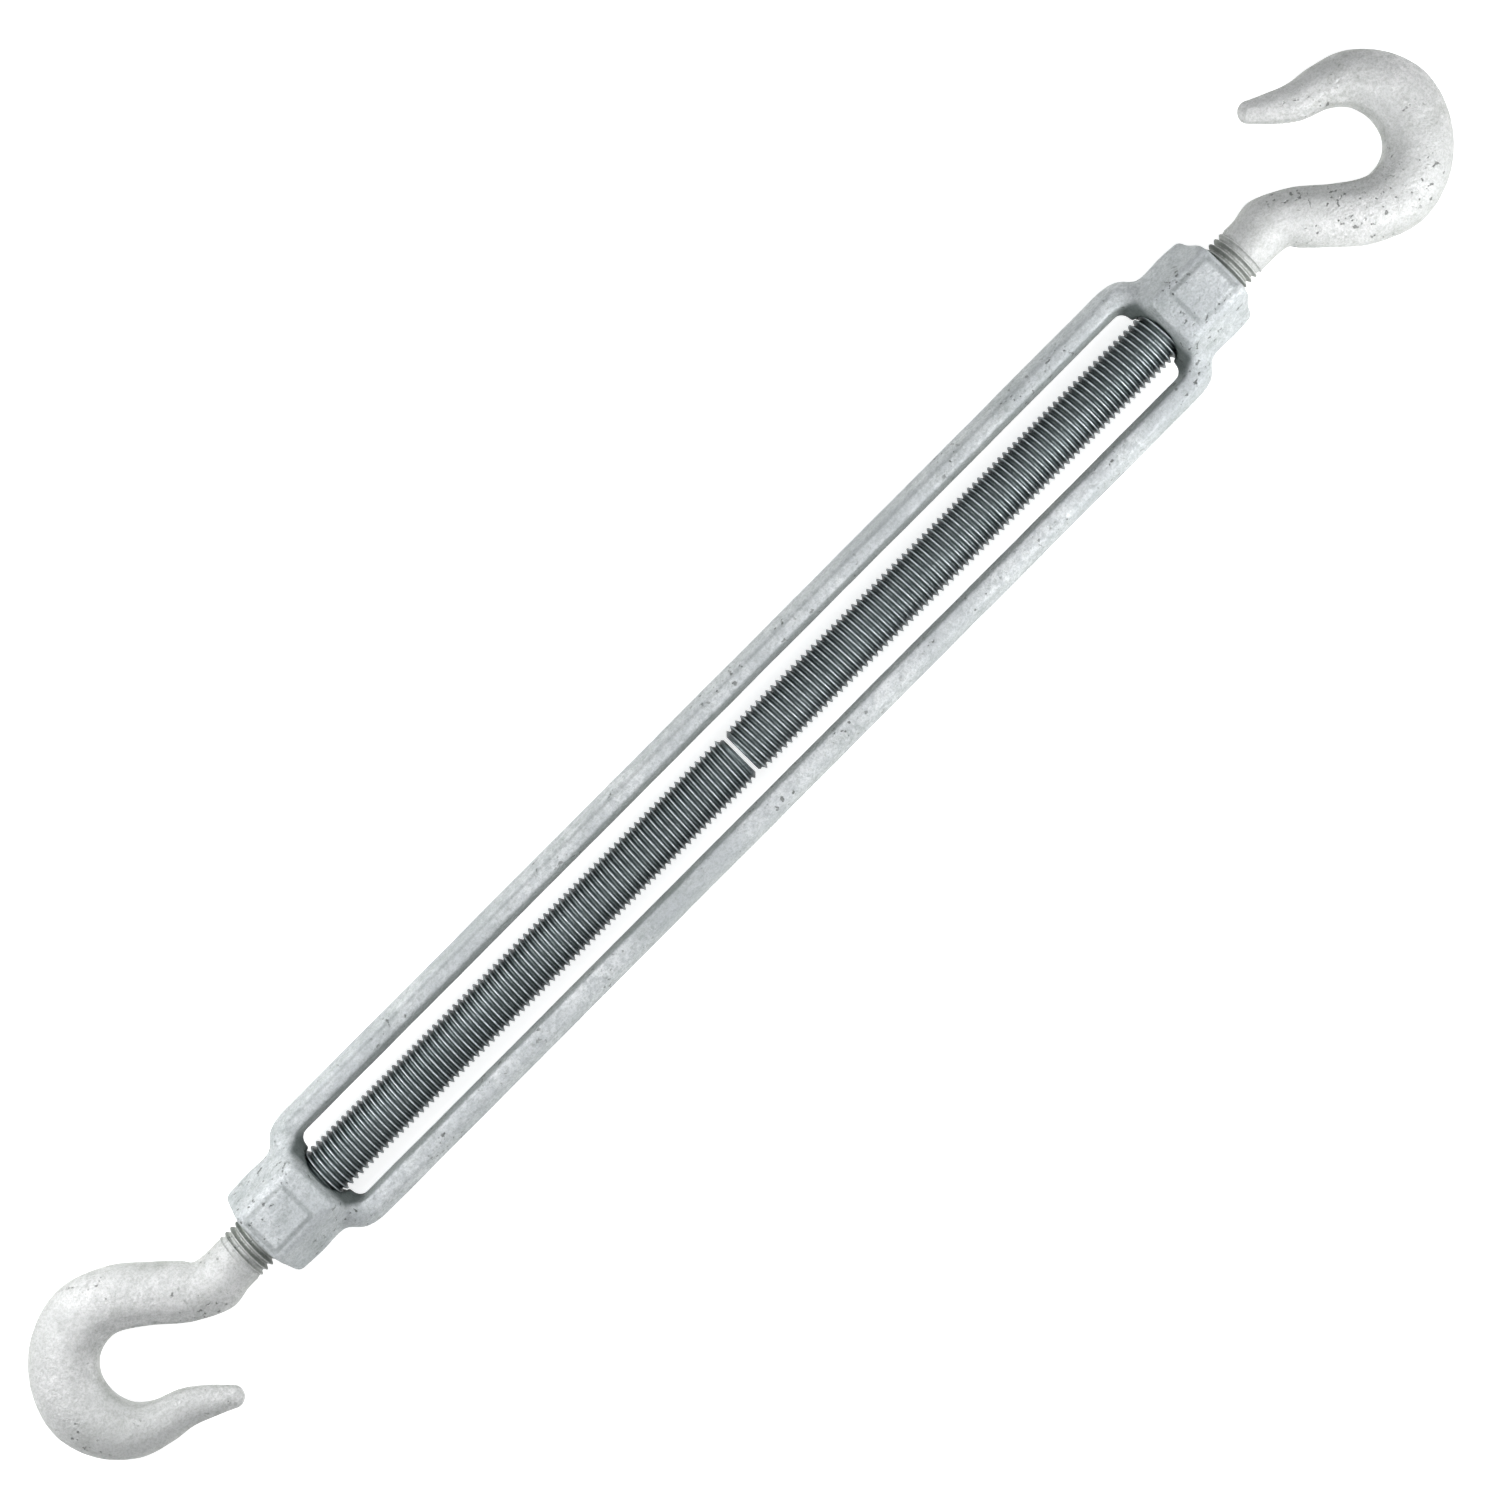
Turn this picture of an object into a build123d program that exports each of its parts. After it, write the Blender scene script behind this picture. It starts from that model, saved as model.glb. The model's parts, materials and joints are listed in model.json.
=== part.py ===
from build123d import *
import os
from math import cos, radians, sin, sqrt, tan

# Open-body turnbuckle with two hooks, drawn fully closed, in millimetres.
# X runs along the screws, the rails and the hooks lie in the XY plane, and the origin is the
# middle of the body.

# --- 7/8-9 UNC screw thread --------------------------------------------------------------
PITCH = 25.4 / 9
MAJOR_R = 22.225 / 2
THREAD_DEPTH = 17 / 24 * PITCH * sqrt(3) / 2
MINOR_R = MAJOR_R - THREAD_DEPTH
CREST = PITCH / 8  # length along the rod of the flat on top of the thread
FLANK = THREAD_DEPTH * tan(radians(30))
ROOT = PITCH - CREST - 2 * FLANK
TURNS = 100
ROD_LENGTH = TURNS * PITCH
ROD_GAP = 0.8  # from the middle of the body to each rod's end
ROD_CHAMFER = 2.2
RUN_OUT = 6.0  # the last threads fade into the shank over this length

# --- Body --------------------------------------------------------------------------------
TAKE_UP_HALF = 230.0  # from the middle to each head's inner face, on the parting plane
HEAD_END = 268.8  # from the middle to each head's outer face
HEX_FLATS = 38.3  # across the flats
HEX_CORNER_R = 2.8
HEX_SIDE_CORNER_R = 5.0  # the two corners on the parting line are forged rounder
GAP_HALF = 17.0  # half the gap between the rails
WINDOW_CORNER_R = 4.0
WINDOW_DRAFT = 16.0  # degrees, on the rails' inner sides
END_DRAFT = 23.0  # degrees, on the heads' inner faces
RAIL_OUTER = 29.0  # from the screw axis to a rail's outer edge
RAIL_HALF = 8.0  # half of a rail's thickness
RAIL_DRAFT = 24.0  # degrees, on the rails' outer sides
RAIL_EDGE_R = 1.5
SHOULDER_END = 243.0  # where the rails' shoulders end against the heads
SHOULDER_R = 12.0
HEAD_EDGE_R = 2.6
BORE_R = 11.2
BORE_CHAMFER = 1.4

# --- Hooks -------------------------------------------------------------------------------
SHANK_R = 10.85
SHANK_END = 285.5  # where the round shank starts to bend into the hook
BOWL_X = 339.7  # the middle of the bowl, on the screw axis
SEAT_R = 14.5  # the pin seat inside the bowl
TIP_R = 4.7
# Stations along the hook: place from the bowl's middle, heading in degrees, width in the
# plane of the hook, thickness across it.
STATIONS = (
    (-45.0, 0.3, -4, 23.6, 22.2),
    (-35.9, -5.0, -28, 24.4, 22.8),
    (-24.6, -14.9, -42, 24.8, 23.4),
    (-13.0, -23.8, -30, 26.2, 24.0),
    (0.0, -27.9, 0, 28.0, 24.2),
    (13.9, -24.2, 30, 28.0, 24.2),
    (24.1, -13.9, 60, 28.0, 24.2),
    (27.8, 0.0, 90, 28.0, 24.0),
    (24.4, 11.3, 118, 25.2, 23.2),
    (17.4, 19.5, 143, 21.8, 21.4),
    (7.8, 24.1, 160, 17.9, 18.6),
    (-2.6, 27.0, 156, 15.6, 15.6),
    (-12.5, 32.7, 149, 12.2, 12.2),
    (-18.4, 36.9, 145, 2 * TIP_R, 2 * TIP_R),
)


def threaded_rod(left_hand):
    """A rod with a true helical thread, standing on its inner end."""
    profile = (
        (MINOR_R, 0),
        (MINOR_R, ROOT),
        (MAJOR_R, ROOT + FLANK),
        (MAJOR_R, ROOT + FLANK + CREST),
    )
    top = (TURNS + 1) * PITCH
    # Each corner of the profile runs round a helix, one edge for each turn, from a turn below
    # the rod to a turn above it.
    corners = [(r, turn * PITCH + z) for turn in range(-1, TURNS + 1) for r, z in profile]
    corners.append((MINOR_R, top))
    helices = [Edge.make_helix(PITCH, PITCH, r, (0, 0, z), lefthand=left_hand) for r, z in corners]
    faces = [Face.make_surface_from_curves(low, high) for low, high in zip(helices, helices[1:])]
    # Each end is closed by a spiral ramp from the axis and by a flat wall at the ramp's step.
    for foot, helix in ((-PITCH, helices[0]), (top, helices[-1])):
        step = [(r, 0, foot + z) for r, z in profile]
        ends = [(0, 0, foot), (0, 0, foot + PITCH)]
        faces.append(Face.make_surface_from_curves(Edge.make_line(*ends), helix))
        faces.append(Face(Wire.make_polygon([ends[0], *step, (MINOR_R, 0, foot + PITCH), ends[1]])))
    upwards = (Align.CENTER, Align.CENTER, Align.MIN)
    with BuildPart() as rod:
        add(Solid(Shell(faces)), clean=False)
        # The last threads fade into the shank.
        with Locations((0, 0, ROD_LENGTH - RUN_OUT)):
            Cone(MINOR_R, SHANK_R, RUN_OUT, align=upwards)
        # The rod's length and the chamfer at its inner end.
        chamfer_r = MAJOR_R - ROD_CHAMFER
        Cone(chamfer_r, chamfer_r + ROD_LENGTH, ROD_LENGTH, align=upwards, mode=Mode.INTERSECT)
    return rod.part


# The forged hook on the +X side, from the round shank to the rounded tip.
shank_start = ROD_GAP + ROD_LENGTH
with BuildPart() as hook_forging:
    with BuildSketch(Plane.YZ.offset(shank_start)):
        Circle(SHANK_R)
    extrude(amount=SHANK_END - shank_start)
    with BuildSketch(Plane.YZ.offset(SHANK_END)):
        Circle(SHANK_R)
    for x, y, heading, width, thickness in STATIONS:
        station = (BOWL_X + x, y, 0)
        along = (cos(radians(heading)), sin(radians(heading)), 0)
        across = (-sin(radians(heading)), cos(radians(heading)), 0)
        with BuildSketch(Plane(origin=station, x_dir=across, z_dir=along)):
            Ellipse(width / 2, thickness / 2)
    loft()
    # The rounded tip is half a ball on the last station.
    with BuildSketch(Plane(origin=station, x_dir=along, z_dir=(0, 0, 1))):
        with BuildLine():
            Polyline((TIP_R, 0), (0, 0), (0, TIP_R))
            CenterArc((0, 0), TIP_R, 0, 90)
        make_face()
    revolve(axis=Axis(station, along))
    # The pin seat is a true cylinder round the bowl's middle.
    with BuildSketch(Plane.XY.offset(-SEAT_R)):
        with Locations((BOWL_X, 0)):
            Circle(SEAT_R)
    extrude(amount=2 * SEAT_R, mode=Mode.SUBTRACT)

os.makedirs("parts", exist_ok=True)

# One forging: hook, shank and right-hand threaded rod.
with BuildPart() as right_hand_hook:
    add(threaded_rod(left_hand=False).rotate(Axis.Y, 90).translate((ROD_GAP, 0, 0)), clean=False)
    add(hook_forging.part)
right_hand_hook.part.label = "right_hand_hook"
export_step(right_hand_hook.part, "parts/right_hand_hook.step")

# The other forging: the same hook turned half round, on a left-hand rod.
with BuildPart() as left_hand_hook:
    add(threaded_rod(left_hand=True).rotate(Axis.Y, -90).translate((-ROD_GAP, 0, 0)), clean=False)
    add(hook_forging.part.rotate(Axis.Z, 180))
left_hand_hook.part.label = "left_hand_hook"
export_step(left_hand_hook.part, "parts/left_hand_hook.step")

# The body: two hexagonal heads and two rails, one drop forging with its parting line on Z = 0.
with BuildPart() as frame_body:
    with BuildSketch():
        RectangleRounded(2 * SHOULDER_END, 2 * RAIL_OUTER, SHOULDER_R)
    extrude(amount=RAIL_HALF, both=True, taper=RAIL_DRAFT)
    for side in (0, -1):
        fillet(edges().group_by(Axis.Z)[side], RAIL_EDGE_R)
    with BuildSketch(Plane.YZ.offset(-HEAD_END)):
        RegularPolygon(HEX_FLATS / 2, 6, major_radius=False, rotation=0)
        corners = vertices().sort_by(Axis.X)
        fillet(corners[:1] + corners[-1:], HEX_SIDE_CORNER_R)
        # The four corners left sharp are the vertices furthest from the axis.
        fillet(vertices().group_by(SortBy.DISTANCE)[-1], HEX_CORNER_R)
    extrude(amount=2 * HEAD_END)
    # The heads' outer rims are rounded over.
    for end in (0, -1):
        fillet(faces().sort_by(Axis.X)[end].edges(), HEAD_EDGE_R)
    # The window between the rails opens out from the parting line towards both of its mouths.
    half_depth = HEX_FLATS / 2 + 1
    mouth_x = TAKE_UP_HALF + half_depth * tan(radians(END_DRAFT))
    mouth_y = GAP_HALF + half_depth * tan(radians(WINDOW_DRAFT))
    for height in (-half_depth, half_depth):
        with BuildSketch():
            RectangleRounded(2 * TAKE_UP_HALF, 2 * GAP_HALF, WINDOW_CORNER_R)
        with BuildSketch(Plane.XY.offset(height)):
            RectangleRounded(2 * mouth_x, 2 * mouth_y, WINDOW_CORNER_R + mouth_y - GAP_HALF)
        loft(ruled=True, mode=Mode.SUBTRACT)
    # A bore through each head, just clear of the rod's crests, with a countersunk mouth.
    for side in (-1, 1):
        with Locations(Plane(origin=(side * HEAD_END, 0, 0), z_dir=(side, 0, 0))):
            CounterSinkHole(BORE_R, BORE_R + BORE_CHAMFER, 2 * (HEAD_END - TAKE_UP_HALF))
frame_body.part.label = "frame_body"
export_step(frame_body.part, "parts/frame_body.step")
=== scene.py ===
"""A galvanised hook-and-hook turnbuckle on a pale floor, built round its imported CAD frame."""

import json
import math

import bmesh
import bpy
import numpy as np
from mathutils import Matrix, Vector, noise


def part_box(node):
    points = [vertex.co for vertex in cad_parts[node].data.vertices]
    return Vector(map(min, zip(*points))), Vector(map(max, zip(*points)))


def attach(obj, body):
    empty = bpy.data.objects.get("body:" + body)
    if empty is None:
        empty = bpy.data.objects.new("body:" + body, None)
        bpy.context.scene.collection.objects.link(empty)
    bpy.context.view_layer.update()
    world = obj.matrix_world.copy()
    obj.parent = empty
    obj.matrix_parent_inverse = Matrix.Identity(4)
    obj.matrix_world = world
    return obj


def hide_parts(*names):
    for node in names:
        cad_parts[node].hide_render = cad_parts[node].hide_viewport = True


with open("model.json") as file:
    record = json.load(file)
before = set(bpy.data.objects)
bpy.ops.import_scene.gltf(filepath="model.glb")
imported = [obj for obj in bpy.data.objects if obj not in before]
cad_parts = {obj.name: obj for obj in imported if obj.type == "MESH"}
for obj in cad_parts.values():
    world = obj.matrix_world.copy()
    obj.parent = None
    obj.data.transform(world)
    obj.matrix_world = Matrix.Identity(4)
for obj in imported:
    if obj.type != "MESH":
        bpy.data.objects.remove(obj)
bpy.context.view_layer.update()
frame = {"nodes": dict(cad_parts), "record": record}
MM = 0.001

# --- Places that come from the frame ---------------------------------------------------------
MOUNTS = {mount["name"]: mount for mount in frame["record"]["mounts"]}
BOWL_X = MOUNTS["right_hook_seat"]["pos_m"][0]
BODY_LOW, BODY_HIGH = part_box("frame_body")
ROD_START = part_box("right_hand_hook")[0].x
HEAD_TOP = BODY_HIGH.z
HEAD_END = BODY_HIGH.x

# --- 7/8-9 UNC thread ------------------------------------------------------------------------
PITCH = 25.4 / 9 * MM
MAJOR_R = 22.225 / 2 * MM
DEPTH = 17 / 24 * PITCH * math.sqrt(3) / 2
MINOR_R = MAJOR_R - DEPTH
TURNS = 100
ROD_CHAMFER = 2.2 * MM
RUN_OUT = 9 * MM  # the last threads fade into the shank over this length
THREAD_END = ROD_START + TURNS * PITCH
# One turn of the thread's outline, as shares of the pitch and of the thread's depth.
THREAD_OUTLINE = (
    (0.00, 0.00),
    (0.08, 0.03),
    (0.16, 0.20),
    (0.29, 0.56),
    (0.41, 0.92),
    (0.45, 1.00),
    (0.55, 1.00),
    (0.59, 0.92),
    (0.71, 0.56),
    (0.84, 0.20),
    (0.92, 0.03),
)
CREST_WEAR = 0.4 * MM  # how far down from the crest the wear reaches
DARK_END = HEAD_END + 4 * MM  # where the dark thread has turned wholly into zinc
DARK_FADE = 14 * MM
ROUND = 64  # vertices round a rod or a hook

# --- Hook ------------------------------------------------------------------------------------
SHANK_R = 10.85 * MM
SHANK_END = 285.5 * MM
TIP_R = 4.7 * MM
TIP_RINGS = 8
SECTION_BLEND = 30 * MM  # the round shank turns into the forged section over this length
# Stations along the +X hook: place from the bowl's middle, heading in degrees, width in the
# plane of the hook, thickness across it, all in millimetres.
STATIONS = (
    (-45.0, 0.3, -4, 23.6, 22.2),
    (-35.9, -5.0, -28, 24.4, 22.8),
    (-24.6, -14.9, -42, 24.8, 23.4),
    (-13.0, -23.8, -30, 26.2, 24.0),
    (0.0, -27.9, 0, 28.0, 24.2),
    (13.9, -24.2, 30, 28.0, 24.2),
    (24.1, -13.9, 60, 28.0, 24.2),
    (27.8, 0.0, 90, 28.0, 24.0),
    (24.4, 11.3, 118, 25.2, 23.2),
    (17.4, 19.5, 143, 21.8, 21.4),
    (7.8, 24.1, 160, 17.9, 18.6),
    (-2.6, 27.0, 156, 15.6, 15.6),
    (-12.5, 32.7, 149, 12.2, 12.2),
    (-18.4, 36.9, 145, 2 * TIP_R / MM, 2 * TIP_R / MM),
)
# Half of the forging's section, from the inner edge of the hook over the top to the outer edge,
# as shares of its half width and half thickness. The inner side is a drafted land with a crease.
SECTION = (
    (-1.00, 0.00),
    (-0.985, 0.30),
    (-0.93, 0.52),
    (-0.82, 0.66),
    (-0.69, 0.75),
    (-0.58, 0.86),
    (-0.42, 0.95),
    (-0.10, 1.00),
    (0.25, 0.97),
    (0.60, 0.81),
    (0.86, 0.52),
    (0.975, 0.25),
    (1.00, 0.00),
)

# --- Body ------------------------------------------------------------------------------------
WINDOW_END = 230 * MM  # from the middle to each end of the window
FLASH_Y = 24.4 * MM  # a dark line along the +Y rail, at the outer edge of its top
VOXEL = 0.95 * MM
# Rounds of smoothing over the whole body and over its groups.
SMOOTHING = ((7, ""), (45, "shoulder"), (40, "corner"))
# Where each group's weight starts and ends to grow or fade, along the screws or off the axis.
SHOULDER_GROWS = (228 * MM, 233 * MM)
SHOULDER_FADES = (247 * MM, 254 * MM)
SHOULDER_OFF_BORE = (12.5 * MM, 15 * MM)
CORNER_GROWS = (257 * MM, 264 * MM)
CORNER_SIDE = (13 * MM, 18 * MM)
SHORT_CORNER = 2.2 * MM  # the +X head's side corners end this much short of the other head's
BORE_CLEAR_R = MAJOR_R + 0.2 * MM
# The raised panels: where each edge's slope starts and ends.
PANEL_START = (246.0 * MM, 247.2 * MM)
PANEL_END = (265.0 * MM, 266.2 * MM)
PANEL_SIDE = (7.4 * MM, 8.6 * MM)
PANEL_HEIGHT = 0.5 * MM
PANEL_FLAT = (HEAD_TOP - 2 * MM, HEAD_TOP - 0.4 * MM)  # what counts as the head's top

# --- Unevenness of the forgings: waves per metre and height of each layer --------------------
BODY_WAVES = ((45, 0.14 * MM), (230, 0.05 * MM))
HOOK_WAVES = ((55, 0.16 * MM), (260, 0.05 * MM))
HOOK_WAVES_GROW = 8 * MM  # from nothing at the thread's end
BODY_WAVES_GROW = 3 * MM  # from nothing at the bore

# --- Camera and light ------------------------------------------------------------------------
AXIS_TURN = math.radians(45.11)  # the object's axis from the picture's horizontal
CAMERA_HEIGHT = 1.7
FRAME_WIDTH = 0.5925  # what the camera sees across, at the parting plane
SENSOR = 36.0
PICTURE_RIGHT = Vector((math.cos(AXIS_TURN), -math.sin(AXIS_TURN), 0))
PICTURE_UP = Vector((math.sin(AXIS_TURN), math.cos(AXIS_TURN), 0))
SOFTBOX_REACH = 0.6
SOFTBOX_HEIGHT = 0.42
SOFTBOX_SIZE = 0.4
FLOOR_HALF = 4.0


# --- Shared helpers --------------------------------------------------------------------------
def curve_through(points, per_span):
    """Points on a smooth curve through the given ones, with per_span steps between neighbours."""
    points = np.array(points, float)
    steps = np.linalg.norm(np.diff(points, axis=0), axis=1)
    knots = np.concatenate([[0], np.cumsum(steps)])
    slopes = np.gradient(points, knots, axis=0)
    found = []
    for i, span in enumerate(steps):
        for s in np.arange(per_span) / per_span:
            a, b = (1 + 2 * s) * (1 - s) ** 2, s * (1 - s) ** 2
            c, d = s * s * (3 - 2 * s), s * s * (s - 1)
            row = a * points[i] + b * span * slopes[i] + c * points[i + 1]
            found.append(row + d * span * slopes[i + 1])
    found.append(points[-1])
    return found


def smoothstep(low, high, value):
    share = min(max((value - low) / (high - low), 0.0), 1.0)
    return share * share * (3 - 2 * share)


def new_object(name, mesh):
    made = bpy.data.objects.new(name, mesh)
    bpy.context.scene.collection.objects.link(made)
    return made


def baked_copy(obj, name):
    """A new object whose mesh has obj's modifiers applied; obj is removed."""
    depsgraph = bpy.context.evaluated_depsgraph_get()
    mesh = bpy.data.meshes.new_from_object(obj.evaluated_get(depsgraph))
    bpy.data.objects.remove(obj)
    mesh.name = name
    return new_object(name, mesh)


def read_vectors(items, name):
    found = np.empty(len(items) * 3, np.float32)
    items.foreach_get(name, found)
    return found.reshape(-1, 3)


def write_attribute(mesh, name, values):
    mesh.attributes.new(name, "FLOAT", "POINT")
    mesh.attributes[name].data.foreach_set("value", values)


def unevenness(point, waves, offset=Vector()):
    return sum(noise.noise(point * scale + offset) * height for scale, height in waves)


def smooth_shading(mesh):
    mesh.polygons.foreach_set("use_smooth", [True] * len(mesh.polygons))


# --- Hooks -----------------------------------------------------------------------------------
def rod_radius(x, share):
    """The rod's radius at x, where share is the thread's height there: 0 in the root, 1 on the crest."""
    fade = smoothstep(THREAD_END - RUN_OUT, THREAD_END, x)
    threaded = max(MINOR_R + share * DEPTH, MINOR_R + (SHANK_R - MINOR_R) * fade)
    threaded += (SHANK_R - threaded) * smoothstep(THREAD_END - 0.4 * RUN_OUT, THREAD_END, x)
    return min(threaded, MAJOR_R - ROD_CHAMFER + max(x - ROD_START, 0))


def add_rod(bm, hand):
    """The threaded rod as one helical strip, cut square at both ends; returns the outer end's edges."""
    rows = len(THREAD_OUTLINE)
    grid = []
    for turn in range(-1, TURNS + 2):
        for share, height in THREAD_OUTLINE:
            row = []
            for i in range(ROUND):
                x = ROD_START + (turn + share + i / ROUND) * PITCH
                r = rod_radius(x, height)
                angle = hand * 2 * math.pi * i / ROUND
                row.append(bm.verts.new((x, r * math.cos(angle), r * math.sin(angle))))
            grid.append(row)
    for k in range(len(grid) - rows - 1):
        for i in range(ROUND):
            low, high = grid[k], grid[k + 1]
            if i + 1 < ROUND:
                bm.faces.new((low[i], low[i + 1], high[i + 1], high[i]))
            else:
                bm.faces.new((low[i], grid[k + rows][0], grid[k + rows + 1][0], high[i]))
    loose = [v for v in bm.verts if not v.link_faces]
    bmesh.ops.delete(bm, geom=loose, context="VERTS")
    loops = []
    for x, side in ((ROD_START, -1), (THREAD_END, 1)):
        cut = bmesh.ops.bisect_plane(
            bm,
            geom=bm.verts[:] + bm.edges[:] + bm.faces[:],
            dist=1e-7,
            plane_co=(x, 0, 0),
            plane_no=(side, 0, 0),
            clear_outer=True,
        )
        loops.append([e for e in cut["geom_cut"] if isinstance(e, bmesh.types.BMEdge)])
    end = bmesh.ops.edgeloop_fill(bm, edges=loops[0])["faces"]
    bmesh.ops.poke(bm, faces=end)
    return loops[1]


def section_ring():
    """The forging's section and a circle, as two lists of ROUND points each, in step."""
    half = curve_through(SECTION, 12)
    lengths = np.linalg.norm(np.diff(np.array(half), axis=0), axis=1)
    along = np.concatenate([[0], np.cumsum(lengths)]) / lengths.sum()
    shares = np.linspace(0, 1, ROUND // 2 + 1)
    across = np.interp(shares, along, [p[0] for p in half])
    height = np.interp(shares, along, [p[1] for p in half])
    forged = list(zip(across, height)) + [(a, -h) for a, h in zip(across[-2:0:-1], height[-2:0:-1])]
    angles = [math.pi * (1 - 2 * i / ROUND) for i in range(ROUND)]
    return forged, [(math.cos(a), math.sin(a)) for a in angles]


def hook_rings():
    """Rings of points from the shank to the tip, each as inner edge, outer edge and half thickness."""
    straight = [(x, SHANK_R, x, -SHANK_R, SHANK_R) for x in (THREAD_END + 1 * MM, SHANK_END)]
    edges = []
    for x, y, heading, width, thickness in STATIONS:
        middle = Vector((BOWL_X + x * MM, y * MM))
        turn = math.radians(heading)
        across = Vector((-math.sin(turn), math.cos(turn))) * width / 2 * MM
        edges.append((*(middle + across), *(middle - across), thickness / 2 * MM))
    return curve_through(straight + edges, 10)


def add_hook(bm):
    """The forged hook from the shank to its rounded tip; returns the first ring's edges."""
    forged, circle = section_ring()
    rings = []
    for ix, iy, ox, oy, half in hook_rings():
        inner, outer = Vector((ix, iy, 0)), Vector((ox, oy, 0))
        middle, across = (inner + outer) / 2, (outer - inner) / 2
        share = smoothstep(SHANK_END, SHANK_END + SECTION_BLEND, ix)
        ring = []
        for (a, h), (ca, ch) in zip(forged, circle):
            place = middle + across * (a * share + ca * (1 - share))
            place.z = half * (h * share + ch * (1 - share))
            ring.append(place)
        rings.append(ring)
    # The tip's rings shrink from the last one towards a pole.
    last = rings[-1]
    middle = sum(last, Vector()) / ROUND
    across = last[ROUND // 2] - last[0]
    along = Vector((0, 0, 1)).cross(across).normalized()
    for j in range(1, TIP_RINGS):
        turn = math.pi / 2 * j / TIP_RINGS
        lift = along * TIP_R * math.sin(turn)
        rings.append([middle + (p - middle) * math.cos(turn) + lift for p in last])
    grid = [[bm.verts.new(p) for p in ring] for ring in rings]
    for low, high in zip(grid, grid[1:]):
        for i in range(ROUND):
            j = (i + 1) % ROUND
            bm.faces.new((low[i], low[j], high[j], high[i]))
    pole = bm.verts.new(middle + along * TIP_R)
    for i in range(ROUND):
        bm.faces.new((grid[-1][i], grid[-1][(i + 1) % ROUND], pole))
    first = set(grid[0])
    return [e for e in bm.edges if e.verts[0] in first and e.verts[1] in first]


def roughen(bm, seed):
    """Moves the forging's surface by the small unevenness that forging and dipping leave."""
    start = THREAD_END + 2 * MM
    offset = Vector((seed * 3.1, seed * 1.7, seed * 2.3))
    bm.normal_update()
    moves = []
    for v in bm.verts:
        strength = smoothstep(start, start + HOOK_WAVES_GROW, abs(v.co.x))
        if strength > 0:
            moves.append((v, v.normal * unevenness(v.co, HOOK_WAVES, offset) * strength))
    for v, move in moves:
        v.co += move


def paint_thread(mesh):
    """Marks how much of each vertex is dark thread, and how near the crest it lies."""
    places = read_vectors(mesh.vertices, "co")
    x, r = np.abs(places[:, 0]), np.hypot(places[:, 1], places[:, 2])
    write_attribute(mesh, "thread", np.clip((DARK_END - x) / DARK_FADE, 0, 1))
    write_attribute(mesh, "crest", np.clip((r - MAJOR_R) / CREST_WEAR + 1, 0, 1))


def hook_piece(name, hook, side):
    """One hook with its rod for the CAD hook, on the +X side or, turned half round, on the -X side."""
    bm = bmesh.new()
    outer_end = add_rod(bm, side)
    first_ring = add_hook(bm)
    bmesh.ops.bridge_loops(bm, edges=outer_end + first_ring)
    bmesh.ops.recalc_face_normals(bm, faces=bm.faces[:])
    roughen(bm, side)
    if side < 0:
        bmesh.ops.rotate(bm, verts=bm.verts[:], cent=(0, 0, 0), matrix=Matrix.Rotation(math.pi, 3, "Z"))
    mesh = bpy.data.meshes.new(name)
    bm.to_mesh(mesh)
    bm.free()
    smooth_shading(mesh)
    paint_thread(mesh)
    piece = new_object(name, mesh)
    mesh.materials.append(hook_material())
    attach(piece, hook)
    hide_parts(hook)


# --- Body ------------------------------------------------------------------------------------
def weight_group(obj, name, weight_at):
    group = obj.vertex_groups.new(name=name)
    for v in obj.data.vertices:
        weight = weight_at(v.co)
        if weight > 0:
            group.add([v.index], weight, "REPLACE")


def near_shoulder(co):
    """1 round the necks between rails and heads and round the window's ends, 0 elsewhere."""
    x = abs(co.x)
    along = smoothstep(*SHOULDER_GROWS, x) * (1 - smoothstep(*SHOULDER_FADES, x))
    return along * smoothstep(*SHOULDER_OFF_BORE, math.hypot(co.y, co.z))


def near_side_corner(co):
    """1 at the heads' outer side corners, which the forging leaves rounder, 0 elsewhere."""
    return smoothstep(*CORNER_SIDE, abs(co.y)) * smoothstep(*CORNER_GROWS, abs(co.x))


def soft_body():
    """The body as a forging: the CAD body's edges and corners softened."""
    source = frame["nodes"]["frame_body"]
    rough = new_object("rough_body", source.data.copy())
    remesh = rough.modifiers.new("remesh", "REMESH")
    remesh.mode = "VOXEL"
    remesh.voxel_size = VOXEL
    rough = baked_copy(rough, "rough_body")
    weight_group(rough, "shoulder", near_shoulder)
    weight_group(rough, "corner", near_side_corner)
    for iterations, group in SMOOTHING:
        smooth = rough.modifiers.new("smooth", "SMOOTH")
        smooth.factor = 0.5
        smooth.iterations = iterations
        smooth.vertex_group = group
    return baked_copy(rough, "forged_body")


def shape_details(mesh):
    """The plain raised panel on each head, the clear bore and the unevenness of the forging."""
    places, normals = read_vectors(mesh.vertices, "co"), read_vectors(mesh.vertices, "normal")
    for place, normal in zip(places, normals):
        x, y, z = place
        r = math.hypot(y, z)
        if abs(x) > WINDOW_END - 1 * MM and r < BORE_CLEAR_R:
            place[1:] *= BORE_CLEAR_R / r
            continue
        if x > 0:
            place[0] -= SHORT_CORNER * near_side_corner(Vector(place))
        length = smoothstep(*PANEL_START, abs(x)) * (1 - smoothstep(*PANEL_END, abs(x)))
        width = 1 - smoothstep(*PANEL_SIDE, abs(y))
        sunk = (1 - length * width) * smoothstep(*PANEL_FLAT, abs(z))
        place[2] -= math.copysign(PANEL_HEIGHT, z) * sunk
        strength = smoothstep(BORE_CLEAR_R, BORE_CLEAR_R + BODY_WAVES_GROW, r)
        place += normal * unevenness(Vector(place), BODY_WAVES) * strength
    mesh.vertices.foreach_set("co", places.ravel())
    mesh.update()


def rising(values, start, length):
    """0 up to start, then evenly up to 1 over length, for arrays; a negative length falls instead."""
    return np.clip((values - start) / length, 0, 1)


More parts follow.
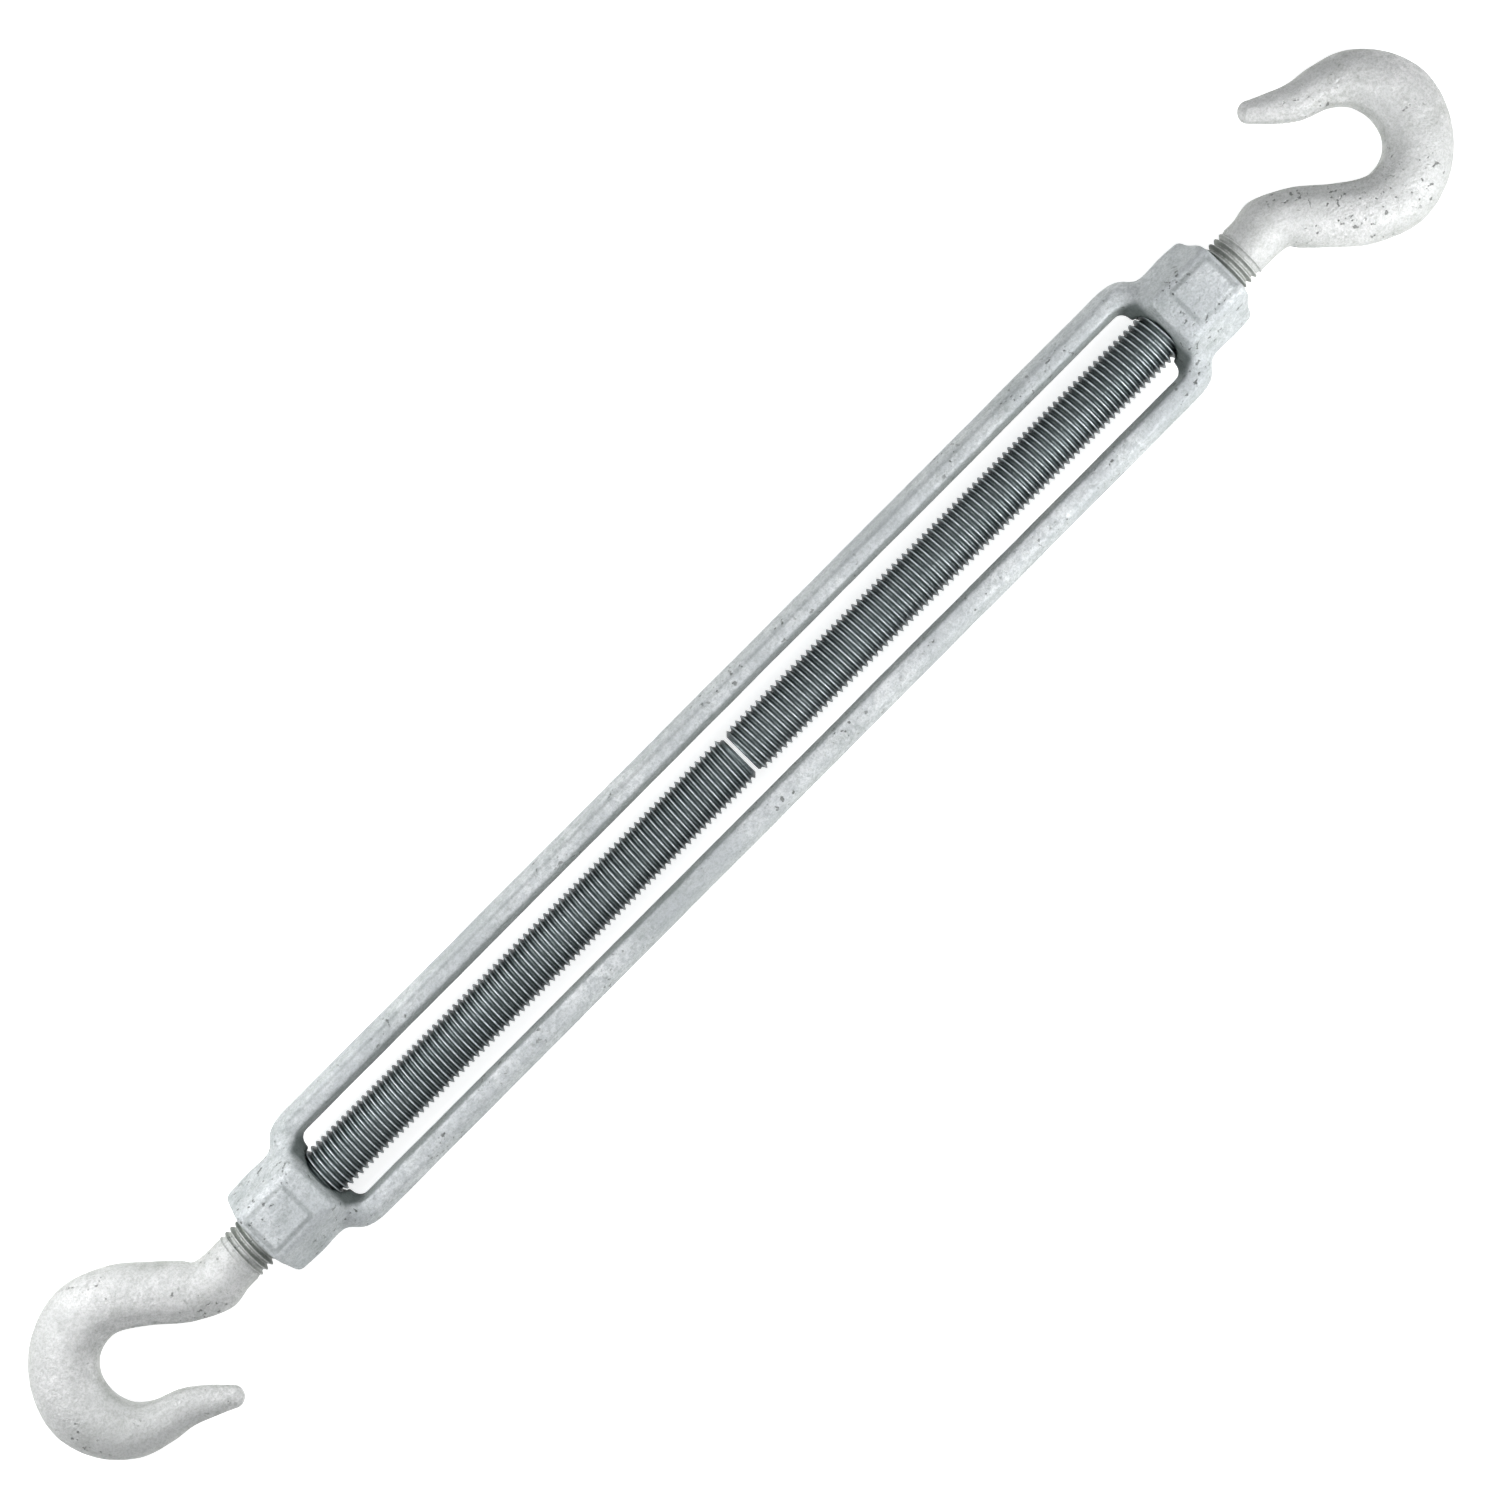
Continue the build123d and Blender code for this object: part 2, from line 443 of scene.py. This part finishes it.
def paint_shade_and_soil(mesh):
    """Marks painted shade in the bore mouths and in the deep corners of the window, and dark lines along
    the panels' edges and the flash line.
    """
    places, normals = read_vectors(mesh.vertices, "co"), read_vectors(mesh.vertices, "normal")
    x, y, z = np.abs(places[:, 0]), places[:, 1], np.abs(places[:, 2])
    r = np.hypot(y, z)
    # The heads' inner faces, where they look along the screws towards the window.
    inward = np.clip(-normals[:, 0] * np.sign(places[:, 0]) * 1.6 - 0.2, 0, 1)
    # Painted shade in the deep corners at the window's ends, on the heads' inner faces.
    deep = rising(z, 14 * MM, -4 * MM) * rising(x, WINDOW_END - 6 * MM, 4 * MM)
    corner = inward * deep * (x < HEAD_END - 15 * MM) * 0.85
    # Painted shade: a dark ring in each bore mouth.
    painted_mouth_shade = rising(r, MAJOR_R + 2.2 * MM, -1 * MM) * (x < HEAD_END - 3 * MM)
    end_gap = np.minimum(np.abs(x - PANEL_START[0]), np.abs(x - PANEL_END[1]))
    on_ends = (end_gap < 1 * MM) & (np.abs(y) < PANEL_SIDE[1])
    side_gap = np.abs(np.abs(y) - PANEL_SIDE[1])
    on_sides = (side_gap < 0.8 * MM) & (x > PANEL_START[0]) & (x < PANEL_END[1])
    panel = (on_ends | on_sides) * (z > PANEL_FLAT[0]) * 0.3
    on_rail = (places[:, 2] > 5 * MM) * (x < WINDOW_END)
    flash = rising(np.abs(y - FLASH_Y), 0.9 * MM, -0.9 * MM) * on_rail * 0.4
    write_attribute(mesh, "painted_shade_and_soil", np.maximum.reduce([corner, painted_mouth_shade, panel, flash]))


def body_piece():
    piece = soft_body()
    shape_details(piece.data)
    smooth_shading(piece.data)
    paint_shade_and_soil(piece.data)
    piece.data.materials.clear()
    piece.data.materials.append(body_material())
    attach(piece, "frame_body")
    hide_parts("frame_body")


# --- Materials -------------------------------------------------------------------------------
# A Mix node's sockets share names between its data types, so its colour sockets go by place.
COLOUR_MIX_INPUTS = (0, 6, 7)
COLOUR_MIX_OUTPUT = 2


class Nodes:
    """Short calls for building a material's node tree."""

    def __init__(self, name):
        self.material = bpy.data.materials.new(name)
        self.material.use_nodes = True
        self.tree = self.material.node_tree
        self.shader = self.tree.nodes["Principled BSDF"]
        coordinates = self.tree.nodes.new("ShaderNodeTexCoord")
        self.place, self.facing = coordinates.outputs["Object"], coordinates.outputs["Normal"]

    def link(self, source, target):
        self.tree.links.new(source, target)

    def noise(self, scale, detail=4.0, roughness=0.55, stretch=(1, 1, 1), at=(0, 0, 0)):
        mapping = self.tree.nodes.new("ShaderNodeMapping")
        mapping.inputs["Scale"].default_value = stretch
        mapping.inputs["Location"].default_value = at
        self.link(self.place, mapping.inputs["Vector"])
        made = self.tree.nodes.new("ShaderNodeTexNoise")
        made.inputs["Scale"].default_value = scale
        made.inputs["Detail"].default_value = detail
        made.inputs["Roughness"].default_value = roughness
        self.link(mapping.outputs["Vector"], made.inputs["Vector"])
        return made.outputs["Fac"]

    def span(self, value, low, high, start=0.0, end=1.0):
        """value's range low..high, spread smoothly over start..end."""
        made = self.tree.nodes.new("ShaderNodeMapRange")
        made.interpolation_type = "SMOOTHSTEP"
        for name, number in (("From Min", low), ("From Max", high), ("To Min", start), ("To Max", end)):
            made.inputs[name].default_value = number
        self.link(value, made.inputs["Value"])
        return made.outputs["Result"]

    def maths(self, operation, a, b):
        made = self.tree.nodes.new("ShaderNodeMath")
        made.operation = operation
        for socket, value in zip(made.inputs, (a, b)):
            if isinstance(value, (int, float)):
                socket.default_value = value
            else:
                self.link(value, socket)
        return made.outputs["Value"]

    def mix(self, share, a, b, blend="MIX"):
        made = self.tree.nodes.new("ShaderNodeMix")
        made.data_type = "RGBA"
        made.blend_type = blend
        for socket, value in zip(COLOUR_MIX_INPUTS, (share, a, b)):
            target = made.inputs[socket]
            if isinstance(value, tuple):
                target.default_value = (*value, 1)
            elif isinstance(value, float):
                target.default_value = value
            else:
                self.link(value, target)
        return made.outputs[COLOUR_MIX_OUTPUT]

    def attribute(self, name):
        made = self.tree.nodes.new("ShaderNodeAttribute")
        made.attribute_name = name
        return made.outputs["Fac"]

    def flank(self):
        """1 on faces that stand upright, 0 on the top and underneath."""
        split = self.tree.nodes.new("ShaderNodeSeparateXYZ")
        self.link(self.facing, split.inputs[0])
        return self.span(self.maths("ABSOLUTE", split.outputs["Z"], 0.0), 0.15, 0.95, 1.0, 0.0)

    def crevice(self, distance):
        """1 deep in corners and valleys, 0 on open surfaces."""
        made = self.tree.nodes.new("ShaderNodeAmbientOcclusion")
        made.inputs["Distance"].default_value = distance
        made.samples = 8
        return self.span(made.outputs["AO"], 0.35, 0.95, 1.0, 0.0)

    def bump(self, height, distance, strength=1.0, normal=None):
        made = self.tree.nodes.new("ShaderNodeBump")
        made.inputs["Strength"].default_value = strength
        made.inputs["Distance"].default_value = distance
        self.link(height, made.inputs["Height"])
        if normal is not None:
            self.link(normal, made.inputs["Normal"])
        return made.outputs["Normal"]


def galvanised(nodes, pale, shade, painted_shade_and_soil, shade_and_dirt_amount):
    """Hot-dipped zinc, with painted shade on its upright sides and in its corners: returns its colour,
    roughness and bump normal.
    """
    broad = nodes.span(nodes.noise(22, 5), 0.32, 0.68)
    mottle = nodes.span(nodes.noise(320, 5, 0.75), 0.42, 0.60)
    speckle = nodes.span(nodes.noise(950, 4, 0.8, at=(2, 8, 5)), 0.44, 0.60)
    colour = nodes.mix(broad, shade, pale)
    colour = nodes.mix(nodes.maths("MULTIPLY", mottle, 0.75), colour, shade)
    # Painted shade darkens the upright sides and the corners; soil lies in drawn-out stains and in
    # specks.
    stains = nodes.span(nodes.noise(70, 6, 0.75, (0.5, 1, 1), (4, 2, 7)), 0.50, 0.72)
    # The crevice term is painted shade: darker where the surroundings close over the surface, as in
    # corners and valleys.
    painted_shade_and_dirt = nodes.maths("ADD", nodes.maths("MULTIPLY", stains, 0.6), nodes.crevice(12 * MM))
    painted_shade_and_dirt = nodes.maths("ADD", painted_shade_and_dirt, nodes.maths("MULTIPLY", speckle, 0.6))
    # The flank term is painted shade: darker on the upright sides.
    painted_shade_and_dirt = nodes.maths("ADD", painted_shade_and_dirt, nodes.maths("MULTIPLY", nodes.flank(), 0.7))
    painted_shade_and_dirt = nodes.maths("MINIMUM", nodes.maths("MULTIPLY", painted_shade_and_dirt, shade_and_dirt_amount), 0.9)
    colour = nodes.mix(painted_shade_and_dirt, colour, painted_shade_and_soil)
    # Dark pits in patches.
    pits = nodes.span(nodes.noise(420, 2, 0.5, at=(1, 5, 3)), 0.63, 0.70)
    patches = nodes.span(nodes.noise(40, 3, at=(9, 1, 4)), 0.46, 0.60)
    pits = nodes.maths("MULTIPLY", pits, patches)
    colour = nodes.mix(nodes.maths("MULTIPLY", pits, 0.8), colour, (0.14, 0.15, 0.14))
    roughness = nodes.span(nodes.noise(160, 5), 0.3, 0.7, 0.42, 0.66)
    normal = nodes.bump(nodes.noise(90, 5, 0.65), 1.3 * MM, 0.7)
    normal = nodes.bump(nodes.noise(600, 4, 0.75), 0.5 * MM, 0.9, normal)
    normal = nodes.bump(nodes.maths("SUBTRACT", 1.0, pits), 0.5 * MM, 0.8, normal)
    return colour, roughness, normal


def body_material():
    """Slightly blue zinc, darkened where painted shade and soil are marked."""
    nodes = Nodes("dipped_zinc")
    colour, roughness, normal = galvanised(
        nodes, (0.78, 0.805, 0.82), (0.53, 0.56, 0.58), (0.22, 0.255, 0.24), 0.48
    )
    # The marked painted shade and soil darken the zinc towards almost black.
    colour = nodes.mix(nodes.attribute("painted_shade_and_soil"), colour, (0.06, 0.08, 0.075))
    nodes.link(colour, nodes.shader.inputs["Base Color"])
    nodes.link(roughness, nodes.shader.inputs["Roughness"])
    nodes.link(normal, nodes.shader.inputs["Normal"])
    nodes.shader.inputs["Metallic"].default_value = 0.25
    return nodes.material


def hook_material():
    """Galvanised on the hook, dark oiled steel with worn bright crests on the thread; painted shade
    darkens the thread's upright sides and dims the crests there.
    """
    found = bpy.data.materials.get("dipped_zinc_and_thread")
    if found is not None:
        return found
    nodes = Nodes("dipped_zinc_and_thread")
    colour, roughness, normal = galvanised(
        nodes, (0.83, 0.83, 0.835), (0.62, 0.63, 0.63), (0.26, 0.28, 0.25), 0.5
    )
    thread, crest = nodes.attribute("thread"), nodes.attribute("crest")
    tone = nodes.span(nodes.noise(90, 4, stretch=(0.3, 1, 1)), 0.3, 0.7)
    dark = nodes.mix(tone, (0.20, 0.24, 0.245), (0.36, 0.41, 0.42))
    # Painted shade: the thread is darkened towards black on its upright sides.
    dark = nodes.mix(nodes.maths("MULTIPLY", nodes.flank(), 1.0), dark, (0.02, 0.03, 0.032))
    crest_wear_dimmed_by_shade = nodes.maths("MULTIPLY", crest, nodes.span(nodes.noise(400, 3), 0.25, 0.6, 0.7, 1.0))
    # Painted shade: the crests' worn lightening is dimmed to about a third on the upright sides.
    crest_wear_dimmed_by_shade = nodes.maths("MULTIPLY", crest_wear_dimmed_by_shade, nodes.span(nodes.flank(), 0.2, 1.0, 1.0, 0.35))
    dark = nodes.mix(crest_wear_dimmed_by_shade, dark, (0.76, 0.83, 0.86))
    nodes.link(nodes.mix(thread, colour, dark), nodes.shader.inputs["Base Color"])
    oiled = nodes.span(nodes.noise(300, 4), 0.3, 0.7, 0.28, 0.42)
    blend = nodes.tree.nodes.new("ShaderNodeMix")
    for name, value in (("Factor", thread), ("A", roughness), ("B", oiled)):
        nodes.link(value, blend.inputs[name])
    nodes.link(blend.outputs["Result"], nodes.shader.inputs["Roughness"])
    nodes.link(nodes.span(thread, 0.0, 1.0, 0.25, 0.7), nodes.shader.inputs["Metallic"])
    nodes.link(normal, nodes.shader.inputs["Normal"])
    return nodes.material


# --- Stage -----------------------------------------------------------------------------------
def floor():
    """A white floor that the object's lowest faces rest on."""
    mesh = bpy.data.meshes.new("floor")
    signs = ((-1, -1), (1, -1), (1, 1), (-1, 1))
    corners = [(FLOOR_HALF * x, FLOOR_HALF * y, BODY_LOW.z) for x, y in signs]
    mesh.from_pydata(corners, [], [(0, 1, 2, 3)])
    made = new_object("floor", mesh)
    nodes = Nodes("floor_paint")
    nodes.shader.inputs["Base Color"].default_value = (0.8, 0.8, 0.8, 1)
    nodes.shader.inputs["Roughness"].default_value = 0.9
    nodes.shader.inputs["Specular IOR Level"].default_value = 0.1
    nodes.shader.inputs["Emission Color"].default_value = (1, 1, 1, 1)
    nodes.shader.inputs["Emission Strength"].default_value = 0.65
    mesh.materials.append(nodes.material)


def softbox(name, place, target, size, watts):
    light = bpy.data.lights.new(name, "AREA")
    light.shape = "DISK"
    light.size = size
    light.energy = watts
    made = bpy.data.objects.new(name, light)
    bpy.context.scene.collection.objects.link(made)
    made.location = place
    made.rotation_euler = (target - place).to_track_quat("-Z", "Y").to_euler()


def lights():
    """Two softboxes, left and right of the picture, a weak one above, and pale surroundings."""
    up = Vector((0, 0, 1))
    for name, side, watts in (("left_softbox", -1, 3.7), ("right_softbox", 1, 4.3)):
        place = PICTURE_RIGHT * side * SOFTBOX_REACH + up * SOFTBOX_HEIGHT
        softbox(name, place, Vector((side * BOWL_X / 2, 0, 0)), SOFTBOX_SIZE, watts)
    softbox("top_softbox", up * 1.6 - PICTURE_UP * 0.3, Vector(), 0.9, 2.5)
    world = bpy.data.worlds.new("surroundings")
    world.use_nodes = True
    world.node_tree.nodes["Background"].inputs["Color"].default_value = (0.96, 0.98, 1, 1)
    world.node_tree.nodes["Background"].inputs["Strength"].default_value = 0.2
    bpy.context.scene.world = world


def camera():
    """Straight above, with the object's axis turned in the picture as AXIS_TURN says."""
    data = bpy.data.cameras.new("camera")
    data.sensor_width = SENSOR
    data.lens = SENSOR * CAMERA_HEIGHT / FRAME_WIDTH
    data.shift_x = 0.006
    data.shift_y = 0.003
    made = bpy.data.objects.new("camera", data)
    bpy.context.scene.collection.objects.link(made)
    made.location = (0, 0, CAMERA_HEIGHT)
    made.rotation_euler = (0, 0, -AXIS_TURN)
    bpy.context.scene.camera = made


body_piece()
hook_piece("forged_right_hand_hook", "right_hand_hook", 1)
hook_piece("forged_left_hand_hook", "left_hand_hook", -1)
floor()
lights()
camera()
bpy.context.scene.view_settings.view_transform = "Standard"
